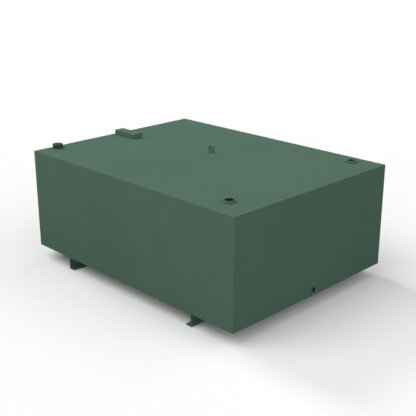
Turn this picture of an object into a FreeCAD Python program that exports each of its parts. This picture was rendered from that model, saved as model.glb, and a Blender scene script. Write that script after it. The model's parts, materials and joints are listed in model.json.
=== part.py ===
import FreeCAD, Part
import os
import re
import Sketcher

# Bunded oil tank: a welded steel oil tank held inside a second welded steel box, the bund.
# Millimetres. X runs along the tank to its drain end, Y from the front to the back, Z up.
# The origin is on the floor under the middle of the bund.

SIZES = {
    # Bund: the outer box
    "tank_length": 2000,
    "tank_depth": 1500,
    "body_height": 730,
    "bund_plate": 3,
    # Bearers: two rolled channels across the underside
    "bearer_height": 90,
    "bearer_flange": 50,
    "bearer_web": 6,
    "bearer_flange_plate": 7,
    "bearer_root_radius": 6,
    "bearer_end_distance": 360,
    "bearer_setback": 5,
    # Inner tank and the air gaps round it
    "tank_plate": 3,
    "side_gap": 40,
    "end_gap": 18,
    "floor_gap": 40,
    "deck_gap": 40,
    "baffle_floor_gap": 50,
    "baffle_top_gap": 100,
    "striker_plate_thickness": 5,
    "striker_reach": 45,
    # Folded channels that fill the gaps under and over the inner tank
    "spacer_width": 60,
    "spacer_plate": 3,
    "spacer_bend_radius": 3,
    "spacer_end_setback": 7,
    "limber_width": 30,
    "limber_height": 12,
    "limber_snipe": 6,
    "limber_spacing": 420,
    "limber_count": 3,
    "stiffener_spacing": 445,
    # Flat stays between the inner tank and the bund's walls
    "stay_height": 60,
    "stay_plate": 6,
    "stay_end_distance": 300,
    "stay_side_distance": 300,
    # Threaded bosses on the deck, and the pipes below them
    "boss_radius": 38,
    "boss_height": 16,
    "thread_lead_in": 2,
    "wide_thread_radius": 28.33,
    "narrow_thread_radius": 22.42,
    "wide_pipe_radius": 30.15,
    "wide_pipe_wall": 3.6,
    "narrow_pipe_radius": 24.15,
    "narrow_pipe_wall": 3.2,
    "pipe_hole_clearance": 0.35,
    "riser_stub": 5,
    "fill_end_distance": 56,
    "boss_end_distance": 199,
    "front_boss_distance": 169,
    "outlet_side_distance": 121,
    "suction_floor_gap": 30,
    "suction_stay_height": 200,
    "suction_stay_width": 30,
    "suction_stay_plate": 5,
    # Fill nipple, threaded outside, with the cap that screws down over it and the seal between
    "nipple_radius": 29.8,
    "nipple_height": 25,
    "nipple_bore_radius": 25,
    "nipple_flange_radius": 34,
    "nipple_flange": 3,
    "nipple_lead_in": 1.5,
    "seal_radius": 29.5,
    "seal_wall": 4,
    "seal_thickness": 2,
    "cap_radius": 36.5,
    "cap_crown": 5,
    "cap_edge_chamfer": 1.5,
    "cap_thread_length": 11.5,
    "cap_thread_clearance": 0.33,
    "cap_flange_clearance": 1.5,
    "cap_skirt_wall": 4.7,
    "cap_spigot_radius": 23.5,
    "cap_spigot_wall": 3,
    "cap_spigot_depth": 8,
    "cap_rib": 3,
    "cap_rib_depth": 5,
    "cap_rib_count": 3,
    "grip_width": 3.6,
    "grip_depth": 1.6,
    "grip_count": 20,
    # Inspection opening: an upstand on the deck and the cover that drops over it
    "cover_end_distance": 25,
    "cover_back_of_middle": 18,
    "cover_length": 230,
    "cover_width": 80,
    "cover_height": 38,
    "cover_plate": 2,
    "cover_edge_radius": 3,
    "cover_edge_clearance": 1,
    "cover_side_clearance": 3,
    "coaming_plate": 3,
    "coaming_corner_radius": 3,
    "opening_ledge": 4,
    # Lifting eye
    "eye_width": 50,
    "eye_height": 50,
    "eye_plate": 10,
    "eye_hole_radius": 13,
    "eye_hole_height": 24,
    "eye_corner_radius": 12,
    "eye_left_of_middle": 57.5,
    "eye_back_of_middle": 126,
    # Drain socket low in the right end
    "drain_height": 43.5,
    "drain_radius": 21,
    "drain_tail_radius": 19.5,
    "drain_thread_radius": 15.15,
    "drain_proud": 8,
    "drain_tail": 6,
    "drain_lead_in": 1,
    "drain_hole_clearance": 0.25,
}

# Levels and faces that several pieces share, worked out from the sizes
PLACES = {
    "body_floor_top": "(bearer_height + bund_plate)",
    "deck_top": "(bearer_height + body_height)",
    "deck_under": "(deck_top - bund_plate)",
    "tank_under": "(body_floor_top + floor_gap)",
    "tank_floor_top": "(tank_under + tank_plate)",
    "tank_top_top": "(deck_under - deck_gap)",
    "tank_top_under": "(tank_top_top - tank_plate)",
    "bund_inner_x": "(tank_length / 2 - bund_plate)",
    "bund_inner_y": "(tank_depth / 2 - bund_plate)",
    "tank_outer_x": "(bund_inner_x - end_gap)",
    "tank_outer_y": "(bund_inner_y - side_gap)",
    "tank_inner_x": "(tank_outer_x - tank_plate)",
    "tank_inner_y": "(tank_outer_y - tank_plate)",
    "bearer_web_x": "(tank_length / 2 - bearer_end_distance)",
    "bearer_middle_x": "(bearer_web_x - bearer_flange / 2)",
    "stay_x": "(tank_length / 2 - stay_end_distance)",
    "stay_y": "(tank_depth / 2 - stay_side_distance)",
    "spacer_length": "(2 * (tank_outer_y - spacer_end_setback))",
    "boss_x": "(tank_length / 2 - boss_end_distance)",
    "front_boss_y": "(front_boss_distance - tank_depth / 2)",
    "outlet_y": "(tank_depth / 2 - outlet_side_distance)",
    "fill_x": "(fill_end_distance - tank_length / 2)",
    "cover_x": "(cover_end_distance + cover_length / 2 - tank_length / 2)",
    "coaming_length": "(cover_length - 2 * cover_plate - 2 * cover_side_clearance)",
    "coaming_width": "(cover_width - 2 * cover_plate - 2 * cover_side_clearance)",
    "opening_length": "(coaming_length - 2 * coaming_plate - 2 * opening_ledge)",
    "opening_width": "(coaming_width - 2 * coaming_plate - 2 * opening_ledge)",
    "cap_level": "(deck_top + nipple_height + seal_thickness)",
    "cap_thread_radius": "(nipple_radius + cap_thread_clearance)",
    "cap_skirt": "(nipple_height + seal_thickness - nipple_flange - cap_flange_clearance)",
    "wide_pipe_hole": "(wide_pipe_radius + pipe_hole_clearance)",
    "narrow_pipe_hole": "(narrow_pipe_radius + pipe_hole_clearance)",
}

FULL_TURN = 360

doc = FreeCAD.newDocument("bunded_oil_tank")
sheet = doc.addObject("Spreadsheet::Sheet", "Sizes")
for row, (name, size) in enumerate(SIZES.items(), start=1):
    sheet.set(f"A{row}", name)
    sheet.set(f"B{row}", str(size))
    sheet.setAlias(f"B{row}", name)
doc.recompute()

nodes = {}


# Reading and binding sizes

def formula(text):
    """A formula in plain size names, rewritten in the sheet's cells."""
    def swap(word):
        name = word.group()
        if name in PLACES:
            return formula(PLACES[name])
        return "Sizes." + name
    return re.sub(r"[a-z]\w*", swap, str(text))


def value(text):
    """The number that a formula gives now."""
    return float(sheet.evalExpression(formula(text)))


def bind(item, name, text):
    item.setExpression(name, formula(text))


def place(item, x=0, y=0, z=0):
    for axis, text in (("x", x), ("y", y), ("z", z)):
        bind(item, "Placement.Base." + axis, text)


# Simple solids

def block(label, x_span, y_span, z_span):
    """A square plate or bar between two limits on each axis."""
    box = doc.addObject("Part::Box", label)
    for side, (low, high) in zip(("Length", "Width", "Height"), (x_span, y_span, z_span)):
        bind(box, side, f"({high}) - ({low})")
    place(box, x_span[0], y_span[0], z_span[0])
    return box


def cut(label, base, tool):
    result = doc.addObject("Part::Cut", label)
    result.Base = base
    result.Tool = tool
    return result


# Sketches and the features made from them

def new_body(label):
    return doc.addObject("PartDesign::Body", label)


def origin_part(body, role):
    return next(item for item in body.Origin.OriginFeatures if item.Role == role)


def sketch_on(body, role, name):
    sketch = body.newObject("Sketcher::SketchObject", name)
    sketch.AttachmentSupport = (origin_part(body, role), [""])
    sketch.MapMode = "FlatFace"
    return sketch


def hold_point(sketch, item, end, x, y):
    """Ties one point of a sketch to its two coordinates."""
    for kind, axis, text in (("DistanceX", -2, x), ("DistanceY", -1, y)):
        if text == 0:
            sketch.addConstraint(Sketcher.Constraint("PointOnObject", item, end, axis))
        else:
            rule = Sketcher.Constraint(kind, -1, 1, item, end, value(text))
            bind(sketch, f"Constraints[{sketch.addConstraint(rule)}]", text)


def outline(sketch, points):
    """A closed outline of straight sides."""
    first = sketch.GeometryCount
    spots = [FreeCAD.Vector(value(x), value(y), 0) for x, y in points]
    for index, spot in enumerate(spots):
        sketch.addGeometry(Part.LineSegment(spot, spots[(index + 1) % len(spots)]), False)
    for index in range(len(points)):
        following = first + (index + 1) % len(points)
        sketch.addConstraint(Sketcher.Constraint("Coincident", first + index, 2, following, 1))
    for index, (x, y) in enumerate(points):
        hold_point(sketch, first + index, 1, x, y)


def rectangle(sketch, length, width, x=0, y=0):
    """A rectangle round a centre."""
    left, right = (f"({x}) - ({length}) / 2", f"({x}) + ({length}) / 2")
    low, high = (f"({y}) - ({width}) / 2", f"({y}) + ({width}) / 2")
    outline(sketch, [(left, low), (right, low), (right, high), (left, high)])


def circle(sketch, radius, x=0, y=0):
    middle = FreeCAD.Vector(value(x), value(y), 0)
    item = sketch.addGeometry(Part.Circle(middle, FreeCAD.Vector(0, 0, 1), value(radius)), False)
    hold_point(sketch, item, 3, x, y)
    rule = sketch.addConstraint(Sketcher.Constraint("Radius", item, value(radius)))
    bind(sketch, f"Constraints[{rule}]", radius)


def pad(body, sketch, length, both_ways=False):
    feature = body.newObject("PartDesign::Pad", sketch.Name + "_pad")
    feature.Profile = sketch
    bind(feature, "Length", length)
    feature.Midplane = both_ways
    doc.recompute()
    return feature


def pocket(body, sketch):
    """Cuts the sketch through the whole piece, to both sides of its plane."""
    before = body.Shape.Volume
    feature = body.newObject("PartDesign::Pocket", sketch.Name + "_pocket")
    feature.Profile = sketch
    feature.Type = "ThroughAll"
    feature.Midplane = True
    doc.recompute()
    if not body.Shape.Volume < before:
        raise ValueError(sketch.Name + " cut nothing")
    return feature


def revolve(body, sketch, axis="V_Axis"):
    feature = body.newObject("PartDesign::Revolution", sketch.Name + "_turned")
    feature.Profile = sketch
    feature.ReferenceAxis = (sketch, [axis])
    feature.Angle = FULL_TURN
    doc.recompute()
    return feature


def round_edges(body, name, radius, chosen):
    """Rounds the edges of the piece whose middle passes a test."""
    base = body.Tip
    edges = body.Shape.Edges
    here = body.Placement.inverse()
    names = []
    for index, edge in enumerate(edges, start=1):
        middle = here.multVec(edge.valueAt((edge.FirstParameter + edge.LastParameter) / 2))
        if chosen(edge, middle):
            names.append(f"Edge{index}")
    feature = body.newObject("PartDesign::Fillet", name)
    feature.Base = (base, names)
    bind(feature, "Radius", radius)
    doc.recompute()


def runs_along(edge, direction):
    if edge.Curve.TypeId != "Part::GeomLine":
        return False
    return abs(edge.Curve.Direction.dot(direction)) > 1 - 1e-6


def near(number, text):
    return abs(number - value(text)) < 1e-4


ALONG_X = FreeCAD.Vector(1, 0, 0)
ALONG_Y = FreeCAD.Vector(0, 1, 0)
ALONG_Z = FreeCAD.Vector(0, 0, 1)


# Bund

def make_bund():
    """Six welded plates: the floor and the deck close the ends of four walls."""
    half_x, half_y = ("tank_length / 2", "tank_depth / 2")
    whole_x = (f"-({half_x})", half_x)
    whole_y = (f"-({half_y})", half_y)
    wall_z = ("body_floor_top", "deck_under")
    nodes["bund_floor"] = block("bund_floor", whole_x, whole_y, ("bearer_height", "body_floor_top"))
    nodes["bund_front"] = block("bund_front", whole_x, (f"-({half_y})", "-bund_inner_y"), wall_z)
    nodes["bund_back"] = block("bund_back", whole_x, ("bund_inner_y", half_y), wall_z)
    end_y = ("-bund_inner_y", "bund_inner_y")
    nodes["bund_left_end"] = block("bund_left_end", (f"-({half_x})", "-bund_inner_x"), end_y, wall_z)
    blank = block("bund_right_end_blank", ("bund_inner_x", half_x), end_y, wall_z)
    hole = doc.addObject("Part::Cylinder", "drain_hole")
    bind(hole, "Radius", "drain_tail_radius + drain_hole_clearance")
    bind(hole, "Height", "3 * bund_plate")
    hole.Placement.Rotation = FreeCAD.Rotation(ALONG_Y, FULL_TURN / 4)
    place(hole, "bund_inner_x - bund_plate", 0, "bearer_height + drain_height")
    nodes["bund_right_end"] = cut("bund_right_end", blank, hole)
    make_pierced_plate("bund_deck", "tank_length", "tank_depth", "bund_plate", "deck_under", opening=True)


def make_pierced_plate(label, length, width, thickness, level, opening=False):
    """A level plate with holes for the three pipes, and where it is the deck the inspection opening."""
    body = new_body(label)
    blank = sketch_on(body, "XY_Plane", label + "_blank")
    rectangle(blank, length, width)
    pad(body, blank, thickness)
    holes = sketch_on(body, "XY_Plane", label + "_holes")
    circle(holes, "wide_pipe_hole", "fill_x", "front_boss_y")
    circle(holes, "wide_pipe_hole", "boss_x", "front_boss_y")
    circle(holes, "narrow_pipe_hole", "boss_x", "outlet_y")
    if opening:
        rectangle(holes, "opening_length", "opening_width", "cover_x", "cover_back_of_middle")
    pocket(body, holes)
    place(body, 0, 0, level)
    nodes[label] = body


# Bearers

def make_bearer(label, side):
    """A rolled channel on edge, web outward, flanges towards the middle of the tank."""
    body = new_body(label)
    section = sketch_on(body, "XZ_Plane", label + "_section")
    web_outer = f"{side} * bearer_web_x"
    web_inner = f"{side} * (bearer_web_x - bearer_web)"
    tip = f"{side} * (bearer_web_x - bearer_flange)"
    upper = "bearer_height - bearer_flange_plate"
    outline(section, [
        (web_outer, 0), (tip, 0), (tip, "bearer_flange_plate"), (web_inner, "bearer_flange_plate"),
        (web_inner, upper), (tip, upper), (tip, "bearer_height"), (web_outer, "bearer_height"),
    ])
    pad(body, section, "tank_depth - 2 * bearer_setback", both_ways=True)

    def is_root(edge, middle):
        inside = value("bearer_flange_plate") - 1e-4 < middle.z < value(upper) + 1e-4
        return runs_along(edge, ALONG_Y) and near(middle.x, web_inner) and inside

    round_edges(body, label + "_roots", "bearer_root_radius", is_root)
    nodes[label] = body


# Inner tank

def make_inner_tank():
    """Plates of the oil tank itself, with an air gap to the bund all round."""
    whole_x = ("-tank_outer_x", "tank_outer_x")
    whole_y = ("-tank_outer_y", "tank_outer_y")
    wall_z = ("tank_floor_top", "tank_top_under")
    inner_y = ("-tank_inner_y", "tank_inner_y")
    nodes["tank_floor"] = block("tank_floor", whole_x, whole_y, ("tank_under", "tank_floor_top"))
    nodes["tank_front"] = block("tank_front", whole_x, ("-tank_outer_y", "-tank_inner_y"), wall_z)
    nodes["tank_back"] = block("tank_back", whole_x, ("tank_inner_y", "tank_outer_y"), wall_z)
    nodes["tank_left_end"] = block("tank_left_end", ("-tank_outer_x", "-tank_inner_x"), inner_y, wall_z)
    nodes["tank_right_end"] = block("tank_right_end", ("tank_inner_x", "tank_outer_x"), inner_y, wall_z)
    make_pierced_plate("tank_top", "2 * tank_outer_x", "2 * tank_outer_y", "tank_plate", "tank_top_under")


def make_baffle(label, side):
    """A plate across the inner tank over a bearer, with room below it for oil and above it for air."""
    middle = f"{side} * bearer_middle_x"
    nodes[label] = block(
        label,
        (f"{middle} - tank_plate / 2", f"{middle} + tank_plate / 2"),
        ("-tank_inner_y", "tank_inner_y"),
        ("tank_floor_top + baffle_floor_gap", "tank_top_under - baffle_top_gap"),
    )


def make_striker_plate():
    """A doubling plate on the inner floor that takes the wear of a dipstick below the fill point."""
    nodes["striker_plate"] = block(
        "striker_plate",
        ("-tank_inner_x", "fill_x + striker_reach"),
        ("front_boss_y - striker_reach", "front_boss_y + striker_reach"),
        ("tank_floor_top", "tank_floor_top + striker_plate_thickness"),
    )


# Spacer channels

def make_spacer(label, x, level, height):
    """A folded channel, open side down, with limber holes so that nothing is dammed up behind it."""
    body = new_body(label)
    section = sketch_on(body, "XZ_Plane", label + "_section")
    outer, inner = ("spacer_width / 2", "(spacer_width / 2 - spacer_plate)")
    under = f"{height} - spacer_plate"
    outline(section, [
        (f"-{outer}", 0), (f"-{outer}", height), (outer, height), (outer, 0),
        (inner, 0), (inner, under), (f"-{inner}", under), (f"-{inner}", 0),
    ])
    pad(body, section, "spacer_length", both_ways=True)

    def is_outer_bend(edge, middle):
        return runs_along(edge, ALONG_Y) and near(middle.z, height)

    def is_inner_bend(edge, middle):
        return runs_along(edge, ALONG_Y) and near(middle.z, under)

    round_edges(body, label + "_outer_bends", "spacer_bend_radius + spacer_plate", is_outer_bend)
    round_edges(body, label + "_inner_bends", "spacer_bend_radius", is_inner_bend)
    notch = sketch_on(body, "YZ_Plane", label + "_limber")
    start = "-(limber_count - 1) * limber_spacing / 2"
    outline(notch, [
        (f"{start} - limber_width / 2", 0), (f"{start} + limber_width / 2", 0),
        (f"{start} + limber_width / 2 - limber_snipe", "limber_height"),
        (f"{start} - limber_width / 2 + limber_snipe", "limber_height"),
    ])
    first = pocket(body, notch)
    row = body.newObject("PartDesign::LinearPattern", label + "_limber_row")
    row.Originals = [first]
    row.Direction = (origin_part(body, "Y_Axis"), [""])
    bind(row, "Length", "(limber_count - 1) * limber_spacing")
    bind(row, "Occurrences", "limber_count")
    body.Tip = row
    place(body, x, 0, level)
    nodes[label] = body


def make_spacers():
    """Two channels carry the inner tank over the bearers, and three carry the deck and the lifting eye."""
    make_spacer("support_left", "-bearer_middle_x", "body_floor_top", "floor_gap")
    make_spacer("support_right", "bearer_middle_x", "body_floor_top", "floor_gap")
    for label, steps in (("deck_stiffener_left", -1), ("deck_stiffener_middle", 0), ("deck_stiffener_right", 1)):
        make_spacer(label, f"-eye_left_of_middle + {steps} * stiffener_spacing", "tank_top_top", "deck_gap")


def make_stays():
    """Flat bars at half height that keep the inner tank central in the bund, two on each side."""
    middle = "bearer_height + body_height / 2"
    z_span = (f"{middle} - stay_height / 2", f"{middle} + stay_height / 2")
    gap_x, gap_y = (("tank_outer_x", "bund_inner_x"), ("tank_outer_y", "bund_inner_y"))
    back_x, back_y = (("-bund_inner_x", "-tank_outer_x"), ("-bund_inner_y", "-tank_outer_y"))
    for name, sign in (("left", -1), ("right", 1)):
        along = (f"{sign} * stay_x - stay_plate / 2", f"{sign} * stay_x + stay_plate / 2")
        nodes[f"stay_front_{name}"] = block(f"stay_front_{name}", along, back_y, z_span)
        nodes[f"stay_back_{name}"] = block(f"stay_back_{name}", along, gap_y, z_span)
    for name, sign in (("front", -1), ("back", 1)):
        along = (f"{sign} * stay_y - stay_plate / 2", f"{sign} * stay_y + stay_plate / 2")
        nodes[f"stay_left_{name}"] = block(f"stay_left_{name}", back_x, along, z_span)
        nodes[f"stay_right_{name}"] = block(f"stay_right_{name}", gap_x, along, z_span)


# Bosses and pipes

def make_boss(label, thread_radius, x, y):
    """A turned boss that is welded to the deck, with a threaded hole and a lead-in at its mouth."""
    body = new_body(label)
    profile = sketch_on(body, "XZ_Plane", label + "_profile")
    outline(profile, [
        (thread_radius, 0), ("boss_radius", 0), ("boss_radius", "boss_height"),
        (f"{thread_radius} + thread_lead_in", "boss_height"),
        (thread_radius, "boss_height - thread_lead_in"),
    ])
    revolve(body, profile)
    place(body, x, y, "deck_top")
    nodes[label] = body


def make_nipple():
    """A turned nipple with a flange that is welded to the deck and a thread outside for the cap."""
    body = new_body("fill_nipple")
    profile = sketch_on(body, "XZ_Plane", "nipple_profile")
    outline(profile, [
        ("nipple_bore_radius", 0), ("nipple_flange_radius", 0), ("nipple_flange_radius", "nipple_flange"),
        ("nipple_radius", "nipple_flange"), ("nipple_radius", "nipple_height - nipple_lead_in"),
        ("nipple_radius - nipple_lead_in", "nipple_height"), ("nipple_bore_radius", "nipple_height"),
    ])
    revolve(body, profile)
    place(body, "fill_x", "front_boss_y", "deck_top")
    nodes["fill_nipple"] = body


def make_pipe(label, radius, wall, low, high, x, y):
    """An upright length of pipe."""
    body = new_body(label)
    ring = sketch_on(body, "XY_Plane", label + "_ring")
    circle(ring, radius)
    circle(ring, f"{radius} - {wall}")
    pad(body, ring, f"({high}) - ({low})")
    place(body, x, y, low)
    nodes[label] = body
    return body


def make_deck_fittings():
    """Fill, vent and outlet: each is a fitting on the deck over a pipe that passes through both tops."""
    make_nipple()
    make_boss("vent_boss", "wide_thread_radius", "boss_x", "front_boss_y")
    make_boss("outlet_boss", "narrow_thread_radius", "boss_x", "outlet_y")
    stub_end = "tank_top_under - riser_stub"
    make_pipe("fill_riser", "wide_pipe_radius", "wide_pipe_wall", stub_end, "deck_top", "fill_x", "front_boss_y")
    make_pipe("vent_riser", "wide_pipe_radius", "wide_pipe_wall", stub_end, "deck_top", "boss_x", "front_boss_y")
    suction_end = "tank_floor_top + suction_floor_gap"
    pipe = make_pipe("suction_pipe", "narrow_pipe_radius", "narrow_pipe_wall",
                     suction_end, "deck_top", "boss_x", "outlet_y")
    mouth = sketch_on(pipe, "XZ_Plane", "suction_mouth")
    outline(mouth, [
        ("-narrow_pipe_radius", 0), ("narrow_pipe_radius", 0),
        ("narrow_pipe_radius", "2 * narrow_pipe_radius"),
    ])
    pocket(pipe, mouth)


def make_suction_stay():
    """A flat bar from the end wall to the suction pipe, its end shaped to the pipe."""
    bar = block(
        "suction_stay_bar",
        ("boss_x + narrow_pipe_radius / 2", "tank_inner_x"),
        ("outlet_y - suction_stay_width / 2", "outlet_y + suction_stay_width / 2"),
        ("tank_floor_top + suction_stay_height", "tank_floor_top + suction_stay_height + suction_stay_plate"),
    )
    pipe = doc.addObject("Part::Cylinder", "suction_stay_cope")
    bind(pipe, "Radius", "narrow_pipe_radius")
    bind(pipe, "Height", "3 * suction_stay_plate")
    place(pipe, "boss_x", "outlet_y", "tank_floor_top + suction_stay_height - suction_stay_plate")
    nodes["suction_stay"] = cut("suction_stay", bar, pipe)


def make_drain_socket():
    """A threaded socket whose shoulder sits on the bund's right end wall, its tail through the wall."""
    body = new_body("drain_socket")
    profile = sketch_on(body, "XZ_Plane", "drain_profile")
    inner_end = "-(bund_plate + drain_tail)"
    outline(profile, [
        (inner_end, "drain_thread_radius"), (inner_end, "drain_tail_radius"),
        (0, "drain_tail_radius"), (0, "drain_radius"), ("drain_proud", "drain_radius"),
        ("drain_proud", "drain_thread_radius + drain_lead_in"),
        ("drain_proud - drain_lead_in", "drain_thread_radius"),
    ])
    revolve(body, profile, "H_Axis")
    place(body, "tank_length / 2", 0, "bearer_height + drain_height")
    nodes["drain_socket"] = body


# Fill cap

def make_fill_cap():
    """A moulded screw cap: grooved skirt, flat crown, and a ribbed spigot that centres it in the nipple."""
    body = new_body("fill_cap")
    profile = sketch_on(body, "XZ_Plane", "cap_profile")
    spigot_inner = "(cap_spigot_radius - cap_spigot_wall)"
    thread_end = "-(seal_thickness + cap_thread_length)"
    skirt_inner = "(cap_radius - cap_skirt_wall)"
    outline(profile, [
        (0, 0), (spigot_inner, 0), (spigot_inner, "-cap_spigot_depth"), ("cap_spigot_radius", "-cap_spigot_depth"),
        ("cap_spigot_radius", 0), ("cap_thread_radius", 0), ("cap_thread_radius", thread_end),
        (skirt_inner, thread_end), (skirt_inner, "-cap_skirt"), ("cap_radius", "-cap_skirt"),
        ("cap_radius", "cap_crown - cap_edge_chamfer"), ("cap_radius - cap_edge_chamfer", "cap_crown"),
        (0, "cap_crown"),
    ])
    revolve(body, profile)
    groove = sketch_on(body, "XY_Plane", "cap_groove")
    outline(groove, [
        ("cap_radius - grip_depth", 0), ("cap_radius", "-grip_width / 2"),
        ("cap_radius + grip_depth", "-grip_width / 2"), ("cap_radius + grip_depth", "grip_width / 2"),
        ("cap_radius", "grip_width / 2"),
    ])
    first = pocket(body, groove)
    grip = body.newObject("PartDesign::PolarPattern", "cap_grip")
    grip.Originals = [first]
    grip.Axis = (origin_part(body, "Z_Axis"), [""])
    grip.Angle = FULL_TURN
    bind(grip, "Occurrences", "grip_count")
    body.Tip = grip
    doc.recompute()
    rib = sketch_on(body, "XY_Plane", "cap_rib_sketch")
    bind(rib, "AttachmentOffset.Base.z", "-cap_rib_depth")
    rectangle(rib, f"2 * {spigot_inner} + cap_spigot_wall", "cap_rib")
    bar = pad(body, rib, "cap_rib_depth + cap_crown / 2")
    ribs = body.newObject("PartDesign::PolarPattern", "cap_ribs")
    ribs.Originals = [bar]
    ribs.Axis = (origin_part(body, "Z_Axis"), [""])
    ribs.Angle = FULL_TURN / 2
    bind(ribs, "Occurrences", "cap_rib_count")
    body.Tip = ribs
    place(body, "fill_x", "front_boss_y", "cap_level")
    nodes["fill_cap"] = body


def make_fill_seal():
    level = "deck_top + nipple_height"
    make_pipe("fill_seal", "seal_radius", "seal_wall", level, "cap_level", "fill_x", "front_boss_y")


# Inspection opening

def make_coaming():
    """An upstand round the opening in the deck, welded from a folded strip."""
    body = new_body("inspection_coaming")
    plan = sketch_on(body, "XY_Plane", "coaming_plan")
    rectangle(plan, "coaming_length", "coaming_width")
    rectangle(plan, "coaming_length - 2 * coaming_plate", "coaming_width - 2 * coaming_plate")
    pad(body, plan, "cover_height - cover_plate")

    def is_outer_corner(edge, middle):
        return runs_along(edge, ALONG_Z) and near(abs(middle.x), "coaming_length / 2")

    def is_inner_corner(edge, middle):
        return runs_along(edge, ALONG_Z) and near(abs(middle.x), "coaming_length / 2 - coaming_plate")

    round_edges(body, "coaming_outer_corners", "coaming_corner_radius + coaming_plate", is_outer_corner)
    round_edges(body, "coaming_inner_corners", "coaming_corner_radius", is_inner_corner)
    place(body, "cover_x", "cover_back_of_middle", "deck_top")
    nodes["inspection_coaming"] = body


def make_cover():
    """A folded sheet cover that drops over the upstand and rests on its rim."""
    body = new_body("inspection_cover")
    plan = sketch_on(body, "XY_Plane", "cover_plan")
    rectangle(plan, "cover_length", "cover_width")
    height = "cover_height - cover_edge_clearance"
    pad(body, plan, height)

    def is_folded(edge, middle):
        return near(middle.z, height)

    round_edges(body, "cover_folds", "cover_edge_radius", is_folded)
    base = body.Tip
    floor = [f"Face{index}" for index, face in enumerate(body.Shape.Faces, start=1)
             if near(face.CenterOfMass.z, 0)]
    shell = body.newObject("PartDesign::Thickness", "cover_shell")
    shell.Base = (base, floor)
    bind(shell, "Value", "cover_plate")
    shell.Reversed = True
    place(body, "cover_x", "cover_back_of_middle", "deck_top + cover_edge_clearance")
    nodes["inspection_cover"] = body


# Lifting eye

def make_lifting_eye():
    """An upright plate on the deck over the middle stiffener, with a hole for a shackle."""
    body = new_body("lifting_eye")
    face = sketch_on(body, "XZ_Plane", "eye_face")
    half = "eye_width / 2"
    outline(face, [(f"-{half}", 0), (half, 0), (half, "eye_height"), (f"-{half}", "eye_height")])
    pad(body, face, "eye_plate", both_ways=True)

    def is_top_corner(edge, middle):
        return runs_along(edge, ALONG_Y) and near(middle.z, "eye_height")

    round_edges(body, "eye_corners", "eye_corner_radius", is_top_corner)
    hole = sketch_on(body, "XZ_Plane", "eye_hole")
    circle(hole, "eye_hole_radius", 0, "eye_hole_height")
    pocket(body, hole)
    place(body, "-eye_left_of_middle", "eye_back_of_middle", "deck_top")
    nodes["lifting_eye"] = body


make_bearer("bearer_left", -1)
make_bearer("bearer_right", 1)
make_bund()
make_inner_tank()
make_baffle("baffle_left", -1)
make_baffle("baffle_right", 1)
make_striker_plate()
make_spacers()
make_stays()
make_deck_fittings()
make_suction_stay()
make_drain_socket()
make_fill_seal()
make_fill_cap()
make_coaming()
make_cover()
make_lifting_eye()
doc.recompute()

for item in doc.Objects:
    if "Invalid" in item.State or "Error" in item.State:
        raise ValueError(f"{item.Label} is {item.State}")
for name, item in nodes.items():
    if item.Shape.isNull() or not item.Shape.isValid() or not item.Shape.Solids:
        raise ValueError(f"{name} has no valid solid")

os.makedirs("parts", exist_ok=True)
for name, item in nodes.items():
    item.Label = name
    item.Shape.exportStep(f"parts/{name}.step")

STEEL_DENSITY = 7.85e-6
LITRE = 1e6
oil = value("2 * tank_inner_x * 2 * tank_inner_y * (tank_top_under - tank_floor_top)")
bund = value("2 * bund_inner_x * 2 * bund_inner_y * (deck_under - body_floor_top)")
steel = sum(item.Shape.Volume for item in nodes.values())
print(len(nodes), "pieces,", round(steel * STEEL_DENSITY), "kg as steel")
print("Inner tank", round(oil / LITRE), "litres, bund", round(bund / LITRE), "litres,",
      round(100 * bund / oil), "percent")
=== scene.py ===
# %% [markdown]
# # A bunded oil tank
# The real thing is a welded steel box, two metres long, that hides a second steel tank inside it.
# The inner tank holds the oil, and the outer one, the bund, catches a leak. The solids of every
# piece come from the CAD model, in metres, so nothing has to be fitted. This script adds what CAD
# leaves out: the paint film, weld beads, threads, soft edges, the moulded cap, light and camera.

import json
import math

import bmesh
import bpy
from mathutils import Matrix, Vector


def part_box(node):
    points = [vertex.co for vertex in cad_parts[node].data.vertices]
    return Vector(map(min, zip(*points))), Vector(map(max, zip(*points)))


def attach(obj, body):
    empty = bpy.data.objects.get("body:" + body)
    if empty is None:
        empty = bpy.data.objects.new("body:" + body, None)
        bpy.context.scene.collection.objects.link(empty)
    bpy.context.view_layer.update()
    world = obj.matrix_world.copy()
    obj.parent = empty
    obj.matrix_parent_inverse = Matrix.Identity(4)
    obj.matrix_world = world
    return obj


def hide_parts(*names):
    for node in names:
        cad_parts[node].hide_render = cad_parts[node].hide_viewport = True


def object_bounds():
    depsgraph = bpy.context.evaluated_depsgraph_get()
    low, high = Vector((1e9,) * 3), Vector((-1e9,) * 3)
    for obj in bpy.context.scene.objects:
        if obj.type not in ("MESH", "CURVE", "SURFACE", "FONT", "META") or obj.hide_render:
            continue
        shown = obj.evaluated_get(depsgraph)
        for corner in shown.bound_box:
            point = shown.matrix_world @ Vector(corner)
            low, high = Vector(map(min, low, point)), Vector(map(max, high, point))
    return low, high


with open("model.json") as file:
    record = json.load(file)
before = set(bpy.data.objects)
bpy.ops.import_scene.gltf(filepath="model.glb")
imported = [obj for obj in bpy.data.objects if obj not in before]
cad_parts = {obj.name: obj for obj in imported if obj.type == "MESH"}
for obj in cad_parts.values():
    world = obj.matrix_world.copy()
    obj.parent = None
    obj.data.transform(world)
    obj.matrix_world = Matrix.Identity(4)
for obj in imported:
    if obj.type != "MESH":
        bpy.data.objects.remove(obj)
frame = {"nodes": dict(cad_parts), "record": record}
cad_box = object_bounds()
nodes = frame["nodes"]
MM = 0.001
print("CAD pieces:", len(nodes), "box:", [tuple(round(c, 3) for c in corner) for corner in cad_box])

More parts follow.
